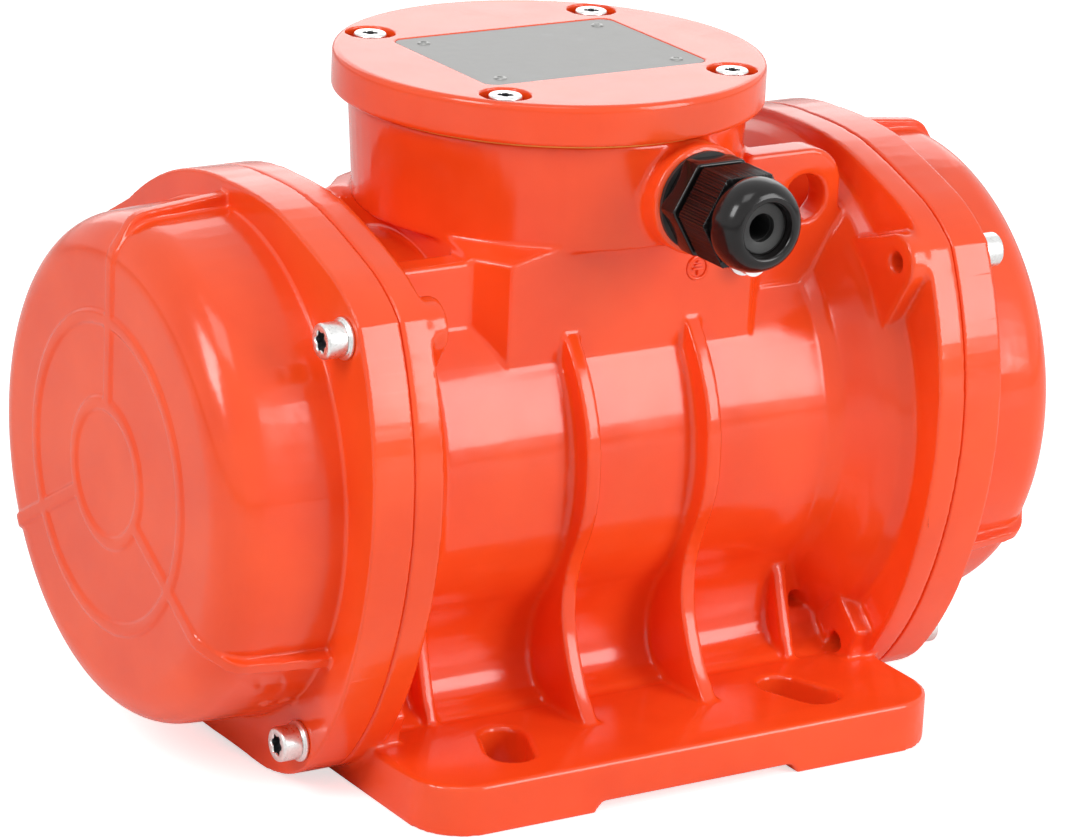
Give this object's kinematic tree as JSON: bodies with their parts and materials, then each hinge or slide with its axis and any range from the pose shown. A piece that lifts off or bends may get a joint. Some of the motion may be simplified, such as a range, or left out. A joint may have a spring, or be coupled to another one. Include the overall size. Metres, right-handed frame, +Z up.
{
  "type": "vibration motor",
  "caption": "External electric vibrator: foot-mounted cast housing, capped eccentric weights at both shaft ends, round terminal box with cable gland.",
  "frame": {"origin": "centre of the rectangle round the whole motor, on the plane of the feet", "axes": "+X along the shaft towards the right cover, -Y towards the cable gland, +Z up out of the terminal box lid"},
  "size_m": [0.2812, 0.194, 0.1942],
  "materials": {
    "orange_paint": "thick glossy orange-red paint over castings",
    "zinc_steel": "bright zinc-plated steel",
    "plate_aluminium": "brushed aluminium sheet",
    "rivet_aluminium": "bright aluminium",
    "black_nylon": "satin black moulded nylon",
    "black_rubber": "matte black rubber",
    "gasket": "yellow-brown sheet gasket edge",
    "grey_iron": "bare grey iron, machined seats",
    "bearing_steel": "ground bearing steel",
    "dark_steel": "black-oxide steel",
    "machined_steel": "turned steel",
    "weight_steel": "cut plate steel, lightly oiled",
    "lamination": "stacked electrical sheet",
    "cage_aluminium": "die-cast aluminium",
    "copper_winding": "varnished copper wire",
    "terminal_resin": "brown moulded resin",
    "brass": "plain brass",
    "lead_insulation": "silicone-covered lead"
  },
  "bodies": {
    "housing": {"gland_body": "black_nylon", "gland_seal": "black_rubber", "gland_washer": "black_rubber", "housing": "orange_paint", "inner_earth_screw": "brass", "inner_earth_washer": "brass", "lead_grommet": "black_rubber", "lead_tags": "brass", "left_bearing_bracket": "grey_iron", "left_bearing_cap": "grey_iron", "left_bearing_outer": "bearing_steel", "left_bracket_screws": "dark_steel", "left_cap_screws": "dark_steel", "left_cover_screws": "zinc_steel", "left_cover_seal": "black_rubber", "left_cover_washers": "zinc_steel", "left_end_cover": "orange_paint", "lid_gasket": "gasket", "lid_screws": "zinc_steel", "nameplate": "plate_aluminium", "nameplate_rivets": "rivet_aluminium", "outer_earth_screw": "zinc_steel", "outer_earth_washer": "zinc_steel", "right_bearing_bracket": "grey_iron", "right_bearing_cap": "grey_iron", "right_bearing_outer": "bearing_steel", "right_bracket_screws": "dark_steel", "right_cap_screws": "dark_steel", "right_cover_screws": "zinc_steel", "right_cover_seal": "black_rubber", "right_cover_washers": "zinc_steel", "right_end_cover": "orange_paint", "stator_core": "lamination", "stator_winding": "copper_winding", "terminal_block": "terminal_resin", "terminal_block_screws": "brass", "terminal_box_lid": "orange_paint", "terminal_links": "brass", "terminal_nuts": "brass", "terminal_studs": "brass", "winding_leads": "lead_insulation"},
    "rotor": {"shaft": "machined_steel", "rotor_core": "lamination", "rotor_cage": "cage_aluminium", "left_bearing_inner": "bearing_steel", "left_fixed_weight": "weight_steel", "left_fixed_clamp": "dark_steel", "left_weight_key": "dark_steel", "right_bearing_inner": "bearing_steel", "right_fixed_weight": "weight_steel", "right_fixed_clamp": "dark_steel", "right_weight_key": "dark_steel"},
    "left_adjustable": {"left_adjustable_weight": "weight_steel", "left_adjustable_clamp": "dark_steel"},
    "left_balls": {"left_bearing_balls": "bearing_steel"},
    "right_adjustable": {"right_adjustable_weight": "weight_steel", "right_adjustable_clamp": "dark_steel"},
    "right_balls": {"right_bearing_balls": "bearing_steel"},
    "gland_ring": {"gland_slip_ring": "black_nylon"},
    "gland_nut": {"gland_nut": "black_nylon"}
  },
  "joints": [
    {"name": "rotor_spin", "type": "hinge", "parent": "housing", "child": "rotor", "pos_m": [0, 0, 0.085], "axis": [1, 0, 0], "continuous": true},
    {"name": "left_weight_set", "type": "hinge", "parent": "rotor", "child": "left_adjustable", "pos_m": [-0.1205, 0, 0.085], "axis": [1, 0, 0], "range_deg": [-180, 180]},
    {"name": "right_weight_set", "type": "hinge", "parent": "rotor", "child": "right_adjustable", "pos_m": [0.1205, 0, 0.085], "axis": [1, 0, 0], "range_deg": [-180, 180]},
    {"name": "left_balls_roll", "type": "hinge", "parent": "housing", "child": "left_balls", "pos_m": [-0.072, 0, 0.085], "axis": [1, 0, 0], "continuous": true},
    {"name": "right_balls_roll", "type": "hinge", "parent": "housing", "child": "right_balls", "pos_m": [0.072, 0, 0.085], "axis": [1, 0, 0], "continuous": true},
    {"name": "gland_ring_slide", "type": "slide", "parent": "housing", "child": "gland_ring", "axis": [0, -1, 0], "range_m": [0, 0.009]},
    {"name": "gland_nut_turn", "type": "hinge", "parent": "gland_ring", "child": "gland_nut", "pos_m": [0.0125, -0.08, 0.1643], "axis": [0, -1, 0], "range_deg": [0, 2160]}
  ],
  "couplings": [
    {"joint": "left_balls_roll", "follows": "rotor_spin", "ratio": 0.39674},
    {"joint": "right_balls_roll", "follows": "rotor_spin", "ratio": 0.39674},
    {"joint": "gland_nut_turn", "follows": "gland_ring_slide", "rad_per_m": 4188.8}
  ]
}
